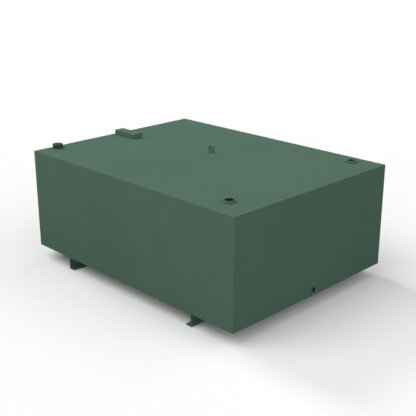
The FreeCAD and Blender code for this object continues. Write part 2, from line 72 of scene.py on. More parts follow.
# %% [markdown]
# ## Helpers for node trees
# Blender mixes colours in linear light, while colours read off a screen are sRGB, so one function
# turns a hex value into linear numbers. A second one adds a node to a shader or a geometry tree,
# with its settings and its links in one call, which keeps the recipes below short enough to read.
# Every finish on this tank is a little uneven, as dust, smears and a sprayed film are. So a third
# one makes that unevenness: a noise, whose levels a colour ramp turns into two near tones.

# %% Colour and node helpers
def colour(hex_code):
    """Turns an sRGB hex colour into linear red, green, blue and an alpha of 1."""
    parts = [int(hex_code[i:i + 2], 16) / 255 for i in (1, 3, 5)]
    return tuple(p / 12.92 if p <= 0.04045 else ((p + 0.055) / 1.055) ** 2.4 for p in parts) + (1.0,)


def add_node(tree, kind, settings=None, inputs=None):
    """Adds a node. An input given as a socket is linked, and any other value is set on it."""
    node = tree.nodes.new(kind)
    for name, setting in (settings or {}).items():
        setattr(node, name, setting)
    for name, given in (inputs or {}).items():
        socket = node.inputs[name]
        if isinstance(given, bpy.types.NodeSocket):
            tree.links.new(given, socket)
        else:
            socket.default_value = given
    return node


def new_material(name):
    """An empty material and its node tree."""
    material = bpy.data.materials.new(name)
    material.use_nodes = True
    material.node_tree.nodes.clear()
    return material, material.node_tree


def uneven_tint(tree, place, width, stops, detail, roughness=0.5):
    """Patches about width metres across. Stops are two noise levels, each with its colour."""
    noise = add_node(tree, "ShaderNodeTexNoise", inputs={
        "Vector": place, "Scale": 1 / width, "Detail": detail, "Roughness": roughness})
    ramp = add_node(tree, "ShaderNodeValToRGB", inputs={"Fac": noise.outputs["Fac"]})
    for element, (level, hex_code) in zip(ramp.color_ramp.elements, stops):
        element.position = level
        element.color = colour(hex_code)
    return noise.outputs["Fac"], ramp.outputs["Color"]


print("A mid green in linear light:", [round(c, 3) for c in colour("#4f6e5d")[:3]])

# %% [markdown]
# ## Satin two-pack paint
# Tanks like this are blasted, primed and sprayed with a two-pack polyurethane, dulled here nearly
# to matt: the photograph shows no reflection in it. The film levels well but keeps a faint orange
# peel, a bump a few millimetres across and some hundredths high, and its gloss wanders a little
# with its thickness. That needs two noises: a slow one for the tint and the gloss, and a fine one
# for the peel. Real peel is finer than a pixel in a view of the whole tank, so it is drawn 9 mm
# across, which lets highlights break up softly without a visible grain.

# %% Paint material
DRIFT_WIDTH = 700 * MM
PEEL_WIDTH, PEEL_HEIGHT = 9 * MM, 0.03 * MM
PAINT_THIN, PAINT_THICK = "#506b5c", "#546f60"


def satin_paint():
    """An even green film that hardly shines and never looks quite flat."""
    material, tree = new_material("satin_polyurethane_paint")
    place = add_node(tree, "ShaderNodeTexCoord").outputs["Object"]
    drift, tint = uneven_tint(tree, place, DRIFT_WIDTH, ((0.35, PAINT_THIN), (0.65, PAINT_THICK)),
                              detail=4.0, roughness=0.6)
    gloss = add_node(tree, "ShaderNodeMapRange", inputs={
        "Value": drift, "From Min": 0.3, "From Max": 0.7, "To Min": 0.72, "To Max": 0.82})
    peel = add_node(tree, "ShaderNodeTexNoise", inputs={
        "Vector": place, "Scale": 1 / PEEL_WIDTH, "Detail": 2.0, "Roughness": 0.4})
    bump = add_node(tree, "ShaderNodeBump", inputs={
        "Height": peel.outputs["Fac"], "Strength": 0.5, "Distance": PEEL_HEIGHT})
    shader = add_node(tree, "ShaderNodeBsdfPrincipled", inputs={
        "Base Color": tint, "Roughness": gloss.outputs["Result"],
        "Normal": bump.outputs["Normal"], "IOR": 1.45, "Specular IOR Level": 0.02})
    add_node(tree, "ShaderNodeOutputMaterial", inputs={"Surface": shader.outputs["BSDF"]})
    return material


paint = satin_paint()
print(paint.name, "nodes:", len(paint.node_tree.nodes))

# %% [markdown]
# ## Zinc primer
# The inner tank and its supports never see daylight, so they only get a grey zinc phosphate
# primer: matt, dusty, a little blotchy. The pipes under the bosses see oil and its vapour, so the
# primer on them is soaked and dark, and drawn darker still as painted shade for the shade inside
# the pipes. Its real grit is some hundredths of a millimetre, too fine to show, so the bump is drawn
# 1.5 mm across.

# %% Primer, dry, and soaked with oil and darkened as painted shade
BLOTCH_WIDTH = 160 * MM
GRIT_WIDTH, GRIT_HEIGHT = 1.5 * MM, 0.05 * MM


def zinc_primer(name, dark, light, roughness):
    """A dull chalky coat in blotches, with no highlight to speak of."""
    material, tree = new_material(name)
    place = add_node(tree, "ShaderNodeTexCoord").outputs["Object"]
    tint = uneven_tint(tree, place, BLOTCH_WIDTH, ((0.3, dark), (0.75, light)),
                       detail=6.0, roughness=0.65)[1]
    grit = add_node(tree, "ShaderNodeTexNoise", inputs={
        "Vector": place, "Scale": 1 / GRIT_WIDTH, "Detail": 3.0})
    bump = add_node(tree, "ShaderNodeBump", inputs={
        "Height": grit.outputs["Fac"], "Strength": 0.4, "Distance": GRIT_HEIGHT})
    shader = add_node(tree, "ShaderNodeBsdfPrincipled", inputs={
        "Base Color": tint, "Roughness": roughness, "Normal": bump.outputs["Normal"]})
    add_node(tree, "ShaderNodeOutputMaterial", inputs={"Surface": shader.outputs["BSDF"]})
    return material


primer = zinc_primer("zinc_phosphate_primer", "#85898a", "#9a9d9c", 0.85)
# The soaked primer's dark tones are partly painted shade, for the inside of the pipes.
oiled_primer_and_shade = zinc_primer("oil_wetted_primer_and_painted_shade", "#343b37", "#444b46", 0.6)
print(primer.name, "and", oiled_primer_and_shade.name, "nodes:", len(primer.node_tree.nodes))

# %% [markdown]
# ## Moulded plastic and rubber
# The cap is moulded polypropylene. Its mould was spark eroded, which leaves a fine matt grain of
# little pits, and use has worn it in cloudy patches. The real grain is some tenths of a millimetre,
# too fine to show, so it is drawn 1.2 mm across. The cap's seal is nitrile rubber, nearly black,
# with a soft sheen and dust in its pores.

# %% Cap and seal materials
GRAIN_WIDTH, GRAIN_DEPTH = 1.2 * MM, 0.06 * MM
WEAR_WIDTH, DUST_WIDTH = 25 * MM, 8 * MM


def grained_polypropylene():
    """Dark green plastic whose pitted skin scatters the light, so that it looks dry and dull."""
    material, tree = new_material("grained_polypropylene")
    place = add_node(tree, "ShaderNodeTexCoord").outputs["Object"]
    grain = add_node(tree, "ShaderNodeTexVoronoi", inputs={
        "Vector": place, "Scale": 1 / GRAIN_WIDTH})
    tint = uneven_tint(tree, place, WEAR_WIDTH, ((0.3, "#33473c"), (0.8, "#3b5045")), detail=3.0)[1]
    bump = add_node(tree, "ShaderNodeBump", inputs={
        "Height": grain.outputs["Distance"], "Strength": 0.5, "Distance": GRAIN_DEPTH})
    shader = add_node(tree, "ShaderNodeBsdfPrincipled", inputs={
        "Base Color": tint, "Roughness": 0.75, "Normal": bump.outputs["Normal"],
        "IOR": 1.49, "Specular IOR Level": 0.03})
    add_node(tree, "ShaderNodeOutputMaterial", inputs={"Surface": shader.outputs["BSDF"]})
    return material


def nitrile_rubber():
    """Nearly black, and greyer where dust lies on it."""
    material, tree = new_material("nitrile_rubber")
    place = add_node(tree, "ShaderNodeTexCoord").outputs["Object"]
    tint = uneven_tint(tree, place, DUST_WIDTH, ((0.0, "#17181a"), (1.0, "#2b2d2d")), detail=5.0)[1]
    shader = add_node(tree, "ShaderNodeBsdfPrincipled", inputs={
        "Base Color": tint, "Roughness": 0.7})
    add_node(tree, "ShaderNodeOutputMaterial", inputs={"Surface": shader.outputs["BSDF"]})
    return material


polypropylene = grained_polypropylene()
rubber = nitrile_rubber()
print(polypropylene.name, "and", rubber.name, "made")

# %% [markdown]
# ## Greased threads, their dark tone partly painted shade
# The tapped holes are plugged and the nipple is capped while the tank is sprayed, so their threads
# hold no clean paint but a dark grease that keeps the rust out. Its tones are drawn darker and
# greener than grease is, as painted shade that stands in for the shade deep in the bores. It lies in
# smears a few millimetres wide, wet in some places and dry in others. One noise drives the tint and
# the gloss, because a thick smear is dark and shiny at once.

# %% Grease material, dark as painted shade
SMEAR_WIDTH = 9 * MM


def greased_thread_and_bore_shade():
    """A dark green smear, paler and duller where it has dried; its darkness is partly painted shade.
    """
    material, tree = new_material("greased_pipe_thread_and_painted_shade")
    place = add_node(tree, "ShaderNodeTexCoord").outputs["Object"]
    # The two tones are darker and greener than grease, as painted shade for the shade deep in the
    # bores.
    smear, tint = uneven_tint(tree, place, SMEAR_WIDTH, ((0.3, "#1e3629"), (0.75, "#2d493a")),
                              detail=4.0, roughness=0.55)
    wetness = add_node(tree, "ShaderNodeMapRange", inputs={
        "Value": smear, "From Min": 0.3, "From Max": 0.7, "To Min": 0.6, "To Max": 0.8})
    shader = add_node(tree, "ShaderNodeBsdfPrincipled", inputs={
        "Base Color": tint, "Roughness": wetness.outputs["Result"],
        "IOR": 1.47, "Specular IOR Level": 0.05})
    add_node(tree, "ShaderNodeOutputMaterial", inputs={"Surface": shader.outputs["BSDF"]})
    return material


grease_and_shade = greased_thread_and_bore_shade()
print(grease_and_shade.name, "made")

# %% [markdown]
# ## Finishes on the CAD pieces
# Each CAD piece already names its finish in the record, so the material follows from that. Pieces
# whose CAD shape is right, such as the bearers and the folded cover, only need this.

# %% Assign the finishes
FINISHES = {"green_paint": paint, "grey_primer": primer,
            "cap_plastic": polypropylene, "seal_rubber": rubber}
# The pipes under the bosses take the soaked primer, dark partly as painted shade for their insides.
OILY_SHADED_PIPES = ("fill_riser", "vent_riser", "suction_pipe")

slot_of = {part["node"]: part["material_slot"] for part in frame["record"]["subparts"]}
for name, item in nodes.items():
    item.data.materials.clear()
    item.data.materials.append(oiled_primer_and_shade if name in OILY_SHADED_PIPES else FINISHES[slot_of[name]])
print("Finishes used:", sorted(set(slot_of.values())))

# %% [markdown]
# ## Turned pieces
# A boss is turned on a lathe, so its shape is a profile swept round an axis. A few lines of mesh
# code do that. The profile is a closed ring of corners, each a radius and a height, and a corner
# that a tool or a file has softened carries its rounding as a third number. The moulded cap is
# swept in the same way, with a rule that carves its grip grooves.

# %% From mesh work to a piece
MERGE_WITHIN = 1e-6


def place_object(name, data):
    """Puts a mesh, a lamp or a camera into the scene, as an object at the origin."""
    item = bpy.data.objects.new(name, data)
    bpy.context.scene.collection.objects.link(item)
    return item


def mesh_of(name, work):
    """Turns mesh work that is done into a mesh."""
    mesh = bpy.data.meshes.new(name)
    work.to_mesh(mesh)
    work.free()
    return mesh


def give_finish(mesh, material, smooth_angle):
    """One material, and smooth shading but for a crease where faces meet at more than the angle."""
    mesh.materials.clear()
    mesh.materials.append(material)
    for face in mesh.polygons:
        face.use_smooth = True
    mesh.set_sharp_from_angle(angle=math.radians(smooth_angle))


def finished_piece(name, mesh, material, smooth_angle=35):
    """Merges doubles, turns the faces outwards and gives the piece its finish."""
    work = bmesh.new()
    work.from_mesh(mesh)
    bmesh.ops.remove_doubles(work, verts=work.verts, dist=MERGE_WITHIN)
    bmesh.ops.recalc_face_normals(work, faces=work.faces)
    work.to_mesh(mesh)
    work.free()
    give_finish(mesh, material, smooth_angle)
    return place_object(name, mesh)


print("Points nearer than", MERGE_WITHIN / MM, "mm are merged")

# %% Lathe
LATHE_SIDES = 128


def lathe(name, profile, centre, material, sides=LATHE_SIDES, along_x=False, smooth_angle=35,
          carve=None):
    """Sweeps a closed profile of (radius, height) points, in mm, round an axis through centre.
    Carve is a rule that changes the radius with the angle."""
    work = bmesh.new()
    rings = []
    for step in range(sides):
        turn = 2 * math.pi * step / sides
        ring = []
        for r, h in profile:
            if carve:
                r = carve(turn, r, h)
            ring.append(work.verts.new((r * MM * math.cos(turn), r * MM * math.sin(turn), h * MM)))
        rings.append(ring)
    for step, ring in enumerate(rings):
        following = rings[(step + 1) % sides]
        for i in range(len(profile)):
            j = (i + 1) % len(profile)
            work.faces.new((ring[i], following[i], following[j], ring[j]))
    if along_x:
        bmesh.ops.rotate(work, verts=work.verts, matrix=Matrix.Rotation(math.pi / 2, 3, "Y"))
    bmesh.ops.translate(work, verts=work.verts, vec=Vector(centre))
    return finished_piece(name, mesh_of(name, work), material, smooth_angle)


def rounded(corners, steps=4):
    """A profile in mm from corners of (radius, height) or (radius, height, rounding)."""
    profile = []
    for i, corner in enumerate(corners):
        if len(corner) == 2:
            profile.append(corner)
            continue
        here, rounding = Vector(corner[:2]), corner[2]
        before = (Vector(corners[i - 1][:2]) - here).normalized()
        after = (Vector(corners[(i + 1) % len(corners)][:2]) - here).normalized()
        half = before.angle(after) / 2
        reach = rounding / math.tan(half)
        middle = here + (before + after).normalized() * rounding / math.sin(half)
        start, end = here + before * reach, here + after * reach
        for step in range(steps + 1):
            spoke = (start - middle).lerp(end - middle, step / steps).normalized() * rounding
            profile.append(tuple(middle + spoke))
    return profile


def grease_and_shade_core(item, centre, radius, along_x=False):
    """Gives the faces of a turned piece within a radius, in mm, of its axis the greased finish,
    which is partly painted shade.
    """
    item.data.materials.append(grease_and_shade)
    for face in item.data.polygons:
        offset = face.center - Vector(centre)
        away = Vector((0 if along_x else offset.x, offset.y, offset.z if along_x else 0))
        if away.length < radius * MM:
            face.material_index = 1


softened_square = rounded([(1, 0), (2, 0), (2, 1, 0.2), (1, 1)])
print("Points in a square with one rounded corner:", len(softened_square))

# %% [markdown]
# ## The thread's ridge
# A boss is tapped, and its thread is a ridge that winds up the bore. A pipe thread of this size has
# eleven turns to the inch. The ridge follows a rule, so geometry nodes draw it: a spiral curve
# carries a small tooth section up the bore. The node's own spiral is left-handed, and Reverse makes
# it the right-handed one that every pipe thread is.

# %% Thread ridge by geometry nodes
THREAD_PITCH = 25.4 / 11
THREAD_DEPTH = 1.479
SPIRAL_STEPS = 72  # points in one turn
ROOT_SHARE, CREST_SHARE = 0.47, 0.08  # half the tooth's width at its root and crest, in pitches


def thread_tree():
    """A spiral that carries a tooth. Inputs are in metres, and the tooth may point in or out."""
    tree = bpy.data.node_groups.new("thread_ridge", "GeometryNodeTree")
    for name, kind in (("Pitch", "NodeSocketFloat"), ("Turns", "NodeSocketFloat"),
                       ("Root radius", "NodeSocketFloat"), ("Crest radius", "NodeSocketFloat"),
                       ("Start height", "NodeSocketFloat"), ("Finish", "NodeSocketMaterial")):
        tree.interface.new_socket(name=name, in_out="INPUT", socket_type=kind)
    tree.interface.new_socket(name="Geometry", in_out="OUTPUT", socket_type="NodeSocketGeometry")
    given = add_node(tree, "NodeGroupInput").outputs
    height = add_node(tree, "ShaderNodeMath", {"operation": "MULTIPLY"}, {
        0: given["Pitch"], 1: given["Turns"]})
    spiral = add_node(tree, "GeometryNodeCurveSpiral", inputs={
        "Resolution": SPIRAL_STEPS, "Rotations": given["Turns"], "Height": height.outputs[0],
        "Start Radius": given["Root radius"], "End Radius": given["Root radius"], "Reverse": True})
    upright = add_node(tree, "GeometryNodeSetCurveNormal", {"mode": "Z_UP"}, {
        "Curve": spiral.outputs["Curve"]})
    depth = add_node(tree, "ShaderNodeMath", {"operation": "SUBTRACT"}, {
        0: given["Crest radius"], 1: given["Root radius"]})
    corners = {}
    for at_crest, share in ((False, -ROOT_SHARE), (True, -CREST_SHARE),
                            (True, CREST_SHARE), (False, ROOT_SHARE)):
        along = add_node(tree, "ShaderNodeMath", {"operation": "MULTIPLY"}, {
            0: given["Pitch"], 1: share})
        corner = add_node(tree, "ShaderNodeCombineXYZ", inputs={
            "X": depth.outputs[0] if at_crest else 0.0, "Y": along.outputs[0]})
        corners[f"Point {len(corners) + 1}"] = corner.outputs[0]
    tooth = add_node(tree, "GeometryNodeCurvePrimitiveQuadrilateral", {"mode": "POINTS"}, corners)
    ridge = add_node(tree, "GeometryNodeCurveToMesh", inputs={
        "Curve": upright.outputs["Curve"], "Profile Curve": tooth.outputs["Curve"],
        "Fill Caps": True})
    lift = add_node(tree, "ShaderNodeCombineXYZ", inputs={"Z": given["Start height"]})
    raised = add_node(tree, "GeometryNodeTransform", inputs={
        "Geometry": ridge.outputs["Mesh"], "Translation": lift.outputs[0]})
    real = add_node(tree, "GeometryNodeRealizeInstances", inputs={
        "Geometry": raised.outputs["Geometry"]})
    finished = add_node(tree, "GeometryNodeSetMaterial", inputs={
        "Geometry": real.outputs["Geometry"], "Material": given["Finish"]})
    add_node(tree, "NodeGroupOutput", inputs={"Geometry": finished.outputs["Geometry"]})
    return tree


def bake(name, tree, values, base=None):
    """Runs a geometry tree on an object and keeps the result as a plain mesh."""
    carrier = place_object(name + "_carrier", base or bpy.data.meshes.new(name + "_carrier"))
    modifier = carrier.modifiers.new("recipe", "NODES")
    modifier.node_group = tree
    identifiers = {socket.name: socket.identifier for socket in tree.interface.items_tree
                   if socket.in_out == "INPUT"}
    for title, given in values.items():
        modifier[identifiers[title]] = given
    evaluated = carrier.evaluated_get(bpy.context.evaluated_depsgraph_get())
    mesh = bpy.data.meshes.new_from_object(evaluated)
    carrier.modifiers.clear()
    bpy.data.objects.remove(carrier)
    mesh.name = name
    return mesh


THREAD = thread_tree()


def thread_ridge(name, root, crest, low, high, centre, material, along_x=False):
    """One thread between two heights in mm, its tooth from the root radius to the crest radius."""
    mesh = bake(name, THREAD, {
        "Pitch": THREAD_PITCH * MM, "Turns": (high - low) / THREAD_PITCH, "Root radius": root * MM,
        "Crest radius": crest * MM, "Start height": low * MM, "Finish": material})
    if along_x:
        mesh.transform(Matrix.Rotation(math.pi / 2, 4, "Y"))
    mesh.transform(Matrix.Translation(centre))
    return finished_piece(name, mesh, material)


print("Thread pitch:", round(THREAD_PITCH, 3), "mm, nodes in the tree:", len(THREAD.nodes))

# %% [markdown]
# ## Bosses, fill nipple and drain socket
# The vent boss takes a two inch pipe thread, the outlet boss an inch and a half, and the drain
# socket one inch. The fill nipple carries a two inch thread on its outside, for the cap. The CAD
# holes stop at the thread's crest. Here each wall stands back to the thread's root, and the ridge
# fills in the rest, so that the crest is just where CAD has its wall. The ridge's root sinks a hair
# into the wall, because two faces in one place would flicker.

# %% Measure and dress a CAD piece
def centre_of(node):
    """The middle of a CAD piece's box."""
    low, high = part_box(node)
    return (low + high) / 2


def foot_of(node):
    """The middle of the lowest face of a CAD piece's box."""
    low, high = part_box(node)
    return Vector(((low.x + high.x) / 2, (low.y + high.y) / 2, low.z))


def height_of(node):
    """How tall a CAD piece is, in mm."""
    low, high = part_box(node)
    return (high.z - low.z) / MM


def dress(node, pieces, body):
    """The pieces stand in for one CAD node and move with its body."""
    for piece in pieces:
        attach(piece, body)
        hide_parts(node)
    print(node, "faces:", sum(len(piece.data.polygons) for piece in pieces))


print("Vent boss height:", round(height_of("vent_boss"), 2), "mm")

# %% Turn the two bosses
WIDE_CREST, NARROW_CREST, BOSS_RADIUS = 28.33, 22.42, 38.0
BOSS_EDGE, LEAD_IN = 1.2, 0.9
RIDGE_FOOT, RIDGE_TOP = 1.2, 2.2  # how far from the bore's two ends the ridge keeps
RIDGE_LAP, GREASE_AND_SHADE_LAP = 0.05, 0.1


def tapped_boss(node, crest):
    """A turned boss with a soft outer edge, a lead-in and a thread in its bore."""
    foot, tall = foot_of(node), height_of(node)
    root = crest + THREAD_DEPTH
    body = lathe(node + "_turned", rounded([
        (root, 0), (BOSS_RADIUS, 0), (BOSS_RADIUS, tall, BOSS_EDGE), (root + LEAD_IN, tall),
        (root, tall - LEAD_IN)]), foot, paint)
    grease_and_shade_core(body, foot, root + GREASE_AND_SHADE_LAP)
    ridge = thread_ridge(
        node + "_thread", root + RIDGE_LAP, crest, RIDGE_FOOT, tall - RIDGE_TOP, foot, grease_and_shade)
    dress(node, (body, ridge), "tank")


tapped_boss("vent_boss", WIDE_CREST)
tapped_boss("outlet_boss", NARROW_CREST)

# %% Turn the fill nipple
NIPPLE_CREST, NIPPLE_BORE, FLANGE_RADIUS, FLANGE_HEIGHT = 29.8, 25.0, 34.0, 3.0
FLANGE_EDGE, FLANGE_HOLLOW, RIM_EDGE = 0.8, 1.5, 0.6
NIPPLE_THREAD_FOOT, NIPPLE_THREAD_TOP = 7.0, 2.4  # above the deck, and below the rim

nipple_foot, nipple_height = foot_of("fill_nipple"), height_of("fill_nipple")
nipple_root = NIPPLE_CREST - THREAD_DEPTH
nipple = lathe("fill_nipple_turned", rounded([
    (NIPPLE_BORE, 0), (FLANGE_RADIUS, 0), (FLANGE_RADIUS, FLANGE_HEIGHT, FLANGE_EDGE),
    (nipple_root, FLANGE_HEIGHT, FLANGE_HOLLOW), (nipple_root, nipple_height, RIM_EDGE),
    (NIPPLE_BORE, nipple_height, RIM_EDGE)]), nipple_foot, paint)
grease_and_shade_core(nipple, nipple_foot, nipple_root + GREASE_AND_SHADE_LAP)
nipple_thread = thread_ridge(
    "fill_nipple_thread", nipple_root - RIDGE_LAP, NIPPLE_CREST, NIPPLE_THREAD_FOOT,
    nipple_height - NIPPLE_THREAD_TOP, nipple_foot, grease_and_shade)
dress("fill_nipple", (nipple, nipple_thread), "tank")

# %% Turn the drain socket
DRAIN_CREST, DRAIN_NECK, DRAIN_OUTSIDE, DRAIN_PROUD = 15.15, 19.5, 21.0, 8.0
DRAIN_EDGE, DRAIN_LEAD_IN, DRAIN_THREAD_END = 0.8, 0.7, 6.2  # the last above the end wall

drain_low, drain_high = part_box("drain_socket")
drain_face = Vector((drain_high.x - DRAIN_PROUD * MM, 0, (drain_low.z + drain_high.z) / 2))
drain_inner = (drain_low.x - drain_face.x) / MM
drain_root = DRAIN_CREST + THREAD_DEPTH
drain = lathe("drain_socket_turned", rounded([
    (drain_root, drain_inner), (DRAIN_NECK, drain_inner), (DRAIN_NECK, 0), (DRAIN_OUTSIDE, 0),
    (DRAIN_OUTSIDE, DRAIN_PROUD, DRAIN_EDGE), (drain_root + DRAIN_LEAD_IN, DRAIN_PROUD),
    (drain_root, DRAIN_PROUD - DRAIN_LEAD_IN)]), drain_face, paint, along_x=True)
grease_and_shade_core(drain, drain_face, drain_root + GREASE_AND_SHADE_LAP, along_x=True)
drain_thread = thread_ridge(
    "drain_socket_thread", drain_root + RIDGE_LAP, DRAIN_CREST, drain_inner + RIDGE_FOOT,
    DRAIN_THREAD_END, drain_face, grease_and_shade, along_x=True)
dress("drain_socket", (drain, drain_thread), "tank")

# %% [markdown]
# ## The screw cap and its seal
# The cap is an injection moulding that screws down over the nipple: a skirt with grip grooves, a
# shallow dished crown inside a raised rim, and below it a ribbed spigot that centres the cap in the
# bore. Sweeping one profile gives all of it but the grooves, so the sweep takes a rule that pulls
# the skirt in at every groove. A moulding has no sharp edges, because its mould has none, and the
# grooves fade out below the rounded top. Heights are above the seal's upper face.

# %% Mould the cap
GRIP_COUNT, GRIP_WIDTH, GRIP_DEPTH, GRIP_STEPS = 20, 3.6, 1.6, 12
GRIP_END, GRIP_FADE = 0.4, 2.5  # the grooves end this far below the crown, and fade over this
CAP_RADIUS, CAP_CROWN, SKIRT_INSIDE, GROOVED_FROM = 36.5, 5.0, 31.75, 34.0
DISH_RADIUS, DISH_LEVEL, RIM_RADIUS = 27.0, 4.2, 28.1
SPIGOT, SPIGOT_INSIDE, SPIGOT_END = 23.5, 20.5, -8.0
CROWN_EDGE, MOULD_EDGE, SPIGOT_EDGE, CAP_HOLLOW = 2.2, 0.8, 0.6, 1.0
CAP_CREST, CAP_THREAD_END, CAP_THREAD_START = 30.13, -13.0, -2.4


def grip_cut(turn):
    """How deep the grip groove is at this angle, from 0 on the skirt to 1 in a groove's middle."""
    spacing = 2 * math.pi / GRIP_COUNT
    offset = abs((turn + spacing / 2) % spacing - spacing / 2) * CAP_RADIUS
    return 0.5 + 0.5 * math.cos(math.pi * min(1, offset / (GRIP_WIDTH / 2)))


def grooved(turn, r, h):
    """The radius of a point of the cap once the grip grooves are pulled in."""
    if r <= GROOVED_FROM:
        return r
    fade = min(1, max(0, (CAP_CROWN - GRIP_END - h) / GRIP_FADE))
    return r - GRIP_DEPTH * grip_cut(turn) * fade


cap_level = centre_of("fill_cap")
cap_level.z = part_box("fill_seal")[1].z
skirt_end = (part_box("fill_cap")[0].z - cap_level.z) / MM
cap = lathe("fill_cap_moulded", rounded([
    (0, DISH_LEVEL), (DISH_RADIUS, DISH_LEVEL), (RIM_RADIUS, CAP_CROWN, MOULD_EDGE),
    (CAP_RADIUS, CAP_CROWN, CROWN_EDGE), (CAP_RADIUS, skirt_end, MOULD_EDGE),
    (SKIRT_INSIDE, skirt_end, MOULD_EDGE), (SKIRT_INSIDE, 0, CAP_HOLLOW),
    (SPIGOT, 0), (SPIGOT, SPIGOT_END, SPIGOT_EDGE), (SPIGOT_INSIDE, SPIGOT_END, SPIGOT_EDGE),
    (SPIGOT_INSIDE, 0, CAP_HOLLOW), (0, 0)], steps=5),
    cap_level, polypropylene, sides=GRIP_COUNT * GRIP_STEPS, smooth_angle=50, carve=grooved)
cap_thread = thread_ridge("fill_cap_thread", SKIRT_INSIDE + RIDGE_LAP, CAP_CREST,
                          CAP_THREAD_END, CAP_THREAD_START, cap_level, polypropylene)
print("Skirt below the seal:", round(-skirt_end, 2), "mm")

# %% Ribs across the spigot, and the seal
RIB_SIZE = Vector((2 * (SPIGOT_INSIDE + 1), 3, 6)) * MM
RIB_MIDDLE = Vector((0, 0, -2)) * MM
SEAL_INSIDE, SEAL_OUTSIDE, SEAL_THICKNESS, SEAL_EDGE = 25.5, 29.5, 2.0, 0.5


def add_block(work, size, middle):
    """Adds a block to mesh work and gives back its corners."""
    corners = bmesh.ops.create_cube(work, size=1)["verts"]
    bmesh.ops.scale(work, verts=corners, vec=size)
    bmesh.ops.translate(work, verts=corners, vec=middle)
    return corners


ribs = bmesh.new()
for third in range(3):
    bar = add_block(ribs, RIB_SIZE, RIB_MIDDLE)
    bmesh.ops.rotate(ribs, verts=bar, matrix=Matrix.Rotation(math.pi * third / 3, 3, "Z"))
bmesh.ops.translate(ribs, verts=ribs.verts, vec=cap_level)
cap_ribs = finished_piece("fill_cap_ribs", mesh_of("fill_cap_ribs", ribs), polypropylene)
dress("fill_cap", (cap, cap_thread, cap_ribs), "fill_cap")

seal = lathe("fill_seal_moulded", rounded([
    (SEAL_INSIDE, 0, SEAL_EDGE), (SEAL_OUTSIDE, 0, SEAL_EDGE),
    (SEAL_OUTSIDE, SEAL_THICKNESS, SEAL_EDGE), (SEAL_INSIDE, SEAL_THICKNESS, SEAL_EDGE)], steps=3),
    foot_of("fill_seal"), rubber)
dress("fill_seal", (seal,), "fill_seal")

# %% [markdown]
# ## The bund's skin
# The outer box is welded from plates and its corners are ground smooth before painting. No real
# corner is a perfect knife edge: paint and grinding leave a radius of a millimetre or two, and that
# is what catches a thin line of light. So one closed shell stands for the six plates: a box with
# bevelled edges, hollowed by a smaller box, with holes cut where the pipes and the opening are.

# %% Blank and cutters
EDGE_RADIUS, PLATE = 2.0, 3.0
SKIN_CREASE, HOLE_SIDES = 30, 96
PIPE_HOLES = {"fill_riser": 30.5, "vent_riser": 30.5, "suction_pipe": 24.5}
DRAIN_HOLE = 19.75
OPENING_HALF = Vector((103, 28, 20)) * MM  # half the cutter's length, width and height
CUT_REACH = 20 * MM


def block_object(name, low, high, bevel=0.0):
    """A block between two corners, with its edges rounded where a bevel is given."""
    work = bmesh.new()
    add_block(work, high - low, (low + high) / 2)
    if bevel:
        bmesh.ops.bevel(work, geom=work.edges[:], offset=bevel, segments=4, profile=0.5,
                        affect="EDGES")
    return place_object(name, mesh_of(name, work))


def rod_object(name, radius, low, high):
    """An upright or level round cutter between two points."""
    low, high = Vector(low), Vector(high)
    work = bmesh.new()
    bmesh.ops.create_cone(work, cap_ends=True, segments=HOLE_SIDES, radius1=radius,
                          radius2=radius, depth=(high - low).length)
    turn = (high - low).to_track_quat("Z", "Y").to_matrix()
    bmesh.ops.rotate(work, verts=work.verts, matrix=turn)
    bmesh.ops.translate(work, verts=work.verts, vec=(low + high) / 2)
    return place_object(name, mesh_of(name, work))


box_low, box_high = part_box("bund_floor")
box_high.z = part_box("bund_deck")[1].z
wall = Vector((PLATE, PLATE, PLATE)) * MM
blank = block_object("bund_blank", box_low, box_high, bevel=EDGE_RADIUS * MM)
cutters = [block_object("hollow", box_low + wall, box_high - wall)]
for node, radius in PIPE_HOLES.items():
    middle = centre_of(node)
    cutters.append(rod_object(
        node + "_hole", radius * MM, (middle.x, middle.y, box_high.z - CUT_REACH),
        (middle.x, middle.y, box_high.z + CUT_REACH)))
opening_middle = centre_of("inspection_coaming")
opening_middle.z = box_high.z
cutters.append(block_object("opening", opening_middle - OPENING_HALF, opening_middle + OPENING_HALF))
inward = Vector((CUT_REACH, 0, 0))
cutters.append(rod_object("drain_hole", DRAIN_HOLE * MM, drain_face - inward, drain_face + inward))
print("Cutters:", [cutter.name for cutter in cutters])

# %% Cut the skin
for number, cutter in enumerate(cutters):
    modifier = blank.modifiers.new(f"cut_{number}", "BOOLEAN")
    modifier.operation = "DIFFERENCE"
    modifier.solver = "EXACT"
    modifier.object = cutter
cut_blank = blank.evaluated_get(bpy.context.evaluated_depsgraph_get())
skin_mesh = bpy.data.meshes.new_from_object(cut_blank)
for item in [blank] + cutters:
    bpy.data.objects.remove(item)
skin_mesh.name = "bund_skin"
give_finish(skin_mesh, paint, SKIN_CREASE)
skin = place_object("bund_skin", skin_mesh)
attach(skin, "tank")
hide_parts("bund_floor", "bund_front", "bund_back", "bund_left_end", "bund_right_end", "bund_deck")
print("Skin faces:", len(skin.data.polygons))

# %% [markdown]
# ## Weld beads
# A fillet weld is laid as a row of small overlapping puddles that freeze one after another, like a
# row of coins pushed over. Each puddle here is a flattened ball, and geometry nodes set one every
# few millimetres along a path, turned to follow it and varied a little in size, because a hand
# holds the torch. The path lies in the corner between two pieces, so just a quarter of each ball
# shows.

# %% Weld bead tree
PUDDLE_LENGTH = 0.85  # half a puddle's length along the path, in ripple spacings
PUDDLE_LEAST, PUDDLE_MOST = 0.92, 1.06
BEAD_CREASE = 180  # no angle creases a bead, which froze from liquid


